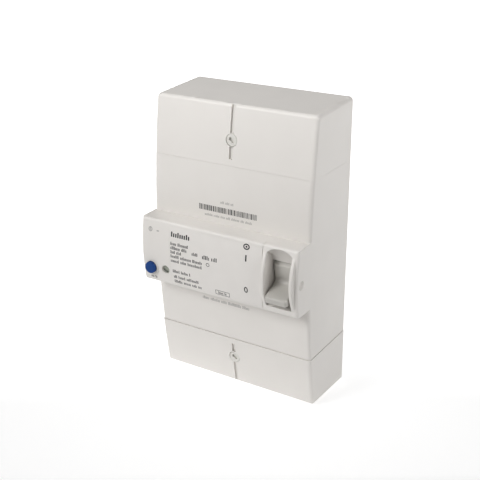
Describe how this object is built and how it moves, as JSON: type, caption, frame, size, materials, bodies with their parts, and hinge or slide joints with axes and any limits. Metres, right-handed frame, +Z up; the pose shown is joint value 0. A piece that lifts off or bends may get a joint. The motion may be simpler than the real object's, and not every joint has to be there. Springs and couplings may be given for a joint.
{
  "type": "residual current circuit breaker",
  "caption": "Surface-mounted residual current circuit breaker with terminal covers, a raised middle band, rocker handle, test button and rating dial.",
  "frame": {"origin": "centre of the flat back face that lies on the panel", "axes": "+X to the right, +Y into the panel (the user looks along +Y), +Z up along the length of the case"},
  "size_m": [0.1176, 0.0726, 0.2011],
  "materials": {
    "case_plastic": "fine moulded texture, warm off-white",
    "base_plastic": "moulded, off-white",
    "label_film": "printed film, light grey",
    "handle_plastic": "moulded, mid grey",
    "button_plastic": "moulded, blue",
    "dial_plastic": "moulded, grey-green",
    "cover_screw_plastic": "moulded, off-white",
    "zinc_steel": "bright zinc plated",
    "spring_steel": "drawn wire",
    "thermoset": "dark thermoset moulding",
    "relay_plastic": "black moulded case",
    "copper": "copper",
    "bimetal": "rolled strip",
    "brass": "machined brass",
    "core_alloy": "wound alloy strip",
    "plunger_steel": "polished",
    "resistor_ceramic": "ceramic body"
  },
  "bodies": {
    "case": {"arc_chute_1": "zinc_steel", "arc_chute_2": "zinc_steel", "arc_chute_3": "zinc_steel", "arc_chute_4": "zinc_steel", "bimetal_strip_1": "bimetal", "bimetal_strip_2": "bimetal", "bimetal_strip_3": "bimetal", "bimetal_strip_4": "bimetal", "case_screws": "zinc_steel", "fixed_contact_1": "copper", "fixed_contact_2": "copper", "fixed_contact_3": "copper", "fixed_contact_4": "copper", "flexible_braids": "copper", "front_housing": "case_plastic", "handle_shaft": "zinc_steel", "handle_spring": "spring_steel", "latch_pin": "zinc_steel", "line_terminal_1": "brass", "line_terminal_2": "brass", "line_terminal_3": "brass", "line_terminal_4": "brass", "line_terminal_screws": "zinc_steel", "load_conductor_1": "copper", "load_conductor_2": "copper", "load_conductor_3": "copper", "load_conductor_4": "copper", "load_terminal_1": "brass", "load_terminal_2": "brass", "load_terminal_3": "brass", "load_terminal_4": "brass", "load_terminal_screws": "zinc_steel", "mechanism_frame": "zinc_steel", "rating_label": "label_film", "rear_base": "base_plastic", "relay_case": "relay_plastic", "test_blade": "spring_steel", "test_resistor": "resistor_ceramic", "toroid_core": "core_alloy", "toroid_winding": "copper", "trip_bar_brackets": "zinc_steel", "trip_coil_1": "copper", "trip_coil_2": "copper", "trip_coil_3": "copper", "trip_coil_4": "copper"},
    "handle": {"handle": "handle_plastic"},
    "crossbar": {"crossbar": "thermoset", "contact_arm_1": "copper", "contact_arm_2": "copper", "contact_arm_3": "copper", "contact_arm_4": "copper"},
    "test_button": {"test_button": "button_plastic"},
    "rating_dial": {"rating_dial": "dial_plastic"},
    "upper_cover": {"upper_terminal_cover": "case_plastic"},
    "lower_cover": {"lower_terminal_cover": "case_plastic"},
    "upper_cover_screw": {"upper_cover_screw": "cover_screw_plastic"},
    "lower_cover_screw": {"lower_cover_screw": "cover_screw_plastic"},
    "trip_bar": {"trip_bar": "thermoset"},
    "latch": {"latch_lever": "zinc_steel"},
    "relay_plunger": {"relay_plunger": "plunger_steel"}
  },
  "joints": [
    {"name": "handle_toggle", "type": "hinge", "parent": "case", "child": "handle", "pos_m": [0.04535, -0.051, -0.002], "axis": [-1, 0, 0], "range_deg": [0, 52]},
    {"name": "crossbar_turn", "type": "hinge", "parent": "case", "child": "crossbar", "pos_m": [0, -0.026, 0.012], "axis": [1, 0, 0], "range_deg": [0, 21.4], "deforming": ["flexible_braids"]},
    {"name": "test_button_press", "type": "slide", "parent": "case", "child": "test_button", "axis": [0, 1, 0], "range_m": [0, 0.0025], "stiffness_N_per_m": 400, "springref_m": -0.002, "deforming": ["test_blade"]},
    {"name": "rating_dial_turn", "type": "hinge", "parent": "case", "child": "rating_dial", "pos_m": [-0.0399, -0.06, -0.0134], "axis": [0, -1, 0], "range_deg": [-60, 60]},
    {"name": "upper_cover_off", "type": "slide", "parent": "case", "child": "upper_cover", "axis": [0, -1, 0], "range_m": [0, 0.06]},
    {"name": "lower_cover_off", "type": "slide", "parent": "case", "child": "lower_cover", "axis": [0, -1, 0], "range_m": [0, 0.06]},
    {"name": "upper_cover_screw_turn", "type": "hinge", "parent": "upper_cover", "child": "upper_cover_screw", "pos_m": [0, -0.047, 0.0759], "axis": [0, -1, 0], "range_deg": [0, 90]},
    {"name": "lower_cover_screw_turn", "type": "hinge", "parent": "lower_cover", "child": "lower_cover_screw", "pos_m": [0, -0.045, -0.0779], "axis": [0, -1, 0], "range_deg": [0, 90]},
    {"name": "trip_bar_turn", "type": "hinge", "parent": "case", "child": "trip_bar", "pos_m": [0, -0.036, 0.047], "axis": [-1, 0, 0], "range_deg": [0, 8], "stiffness_Nm_per_rad": 0.02, "springref_deg": -5.73},
    {"name": "latch_turn", "type": "hinge", "parent": "case", "child": "latch", "pos_m": [0.0314, -0.043, 0.026], "axis": [1, 0, 0], "range_deg": [0, 6]},
    {"name": "relay_plunger_strike", "type": "slide", "parent": "case", "child": "relay_plunger", "axis": [0, 0, 1], "range_m": [0, 0.002]}
  ],
  "couplings": [
    {"joint": "crossbar_turn", "follows": "handle_toggle", "ratio": 0.4115},
    {"joint": "latch_turn", "follows": "trip_bar_turn", "ratio": 0.75}
  ]
}
